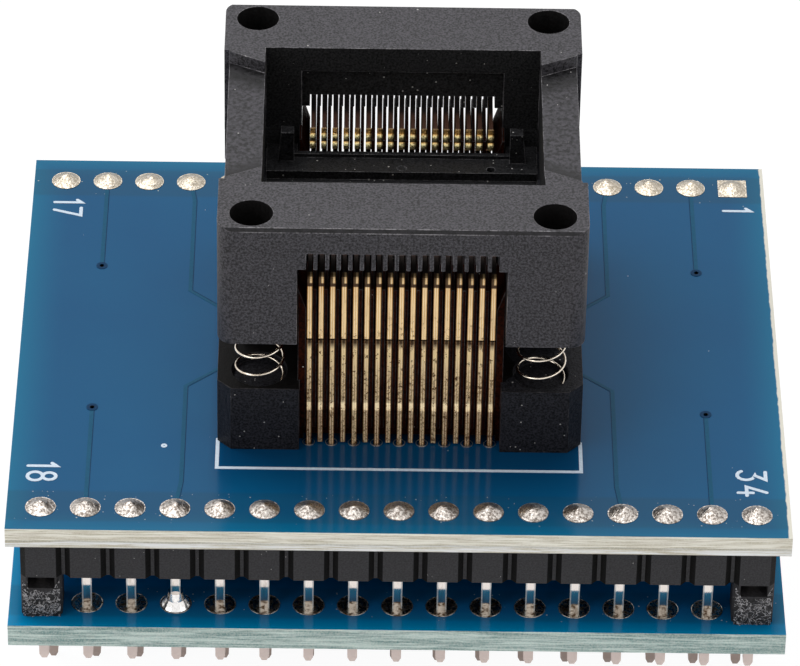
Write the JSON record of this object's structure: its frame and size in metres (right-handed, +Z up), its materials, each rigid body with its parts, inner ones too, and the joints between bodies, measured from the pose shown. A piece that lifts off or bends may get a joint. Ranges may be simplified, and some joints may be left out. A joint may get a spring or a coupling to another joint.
{
  "type": "ic programming adapter",
  "caption": "Open-top spring socket for a fine-pitch chip on two stacked circuit boards with square plug pins; pressing the sprung cover opens the rows of contacts.",
  "frame": {"origin": "middle of the plane that the tips of the plug pins stand on", "axes": "+Z up towards the socket's cover, X along the pin rows, +Y away from the front row of contacts"},
  "size_m": [0.0446, 0.036, 0.0342],
  "materials": {
    "board_blue": "glossy blue solder mask with bare glass-fibre edges",
    "header_black": "moulded black plastic",
    "spacer_black": "rough cut black plastic",
    "pin_tin": "bright tin plate",
    "solder": "satin solder",
    "base_black": "semi-gloss black plastic with dust",
    "cover_grey": "matt dark grey plastic",
    "contact_gold": "gold plate with brown tarnish",
    "spring_steel": "bright drawn wire"
  },
  "bodies": {
    "adapter": {"lower_board": "board_blue", "upper_board": "board_blue", "plug_header_front": "header_black", "plug_header_rear": "header_black", "plug_pins_front": "pin_tin", "plug_pins_rear": "pin_tin", "riser_header_front": "header_black", "riser_header_rear": "header_black", "riser_pins_front": "pin_tin", "riser_pins_rear": "pin_tin", "spacer_front_left": "spacer_black", "spacer_front_right": "spacer_black", "spacer_rear_left": "spacer_black", "spacer_rear_right": "spacer_black", "top_solder_front": "solder", "top_solder_rear": "solder", "stub_solder_front": "solder", "stub_solder_rear": "solder", "plug_solder_front": "solder", "plug_solder_rear": "solder", "touch_up_solder": "solder", "socket_base": "base_black", "chip_platform": "base_black", "contact_stems_front": "contact_gold", "contact_stems_rear": "contact_gold", "tail_solder_front": "solder", "tail_solder_rear": "solder", "spring_front_left": "spring_steel", "spring_front_right": "spring_steel", "spring_rear_left": "spring_steel", "spring_rear_right": "spring_steel"},
    "cover": {"cover": "cover_grey"},
    "front_levers": {"contact_levers_front": "contact_gold"},
    "rear_levers": {"contact_levers_rear": "contact_gold"}
  },
  "joints": [
    {"name": "cover_press", "type": "slide", "parent": "adapter", "child": "cover", "axis": [0, 0, -1], "range_m": [0, 0.0008], "stiffness_N_per_m": 670, "springref_m": -0.002, "deforming": ["spring_front_left", "spring_front_right", "spring_rear_left", "spring_rear_right"]},
    {"name": "front_contacts_open", "type": "hinge", "parent": "adapter", "child": "front_levers", "pos_m": [0, -0.0094, 0.02528], "axis": [1, 0, 0], "range_deg": [0, 6]},
    {"name": "rear_contacts_open", "type": "hinge", "parent": "adapter", "child": "rear_levers", "pos_m": [0, 0.0094, 0.02528], "axis": [-1, 0, 0], "range_deg": [0, 6]}
  ],
  "couplings": [
    {"joint": "front_contacts_open", "follows": "cover_press", "rad_per_m": 110},
    {"joint": "rear_contacts_open", "follows": "cover_press", "rad_per_m": 110}
  ]
}
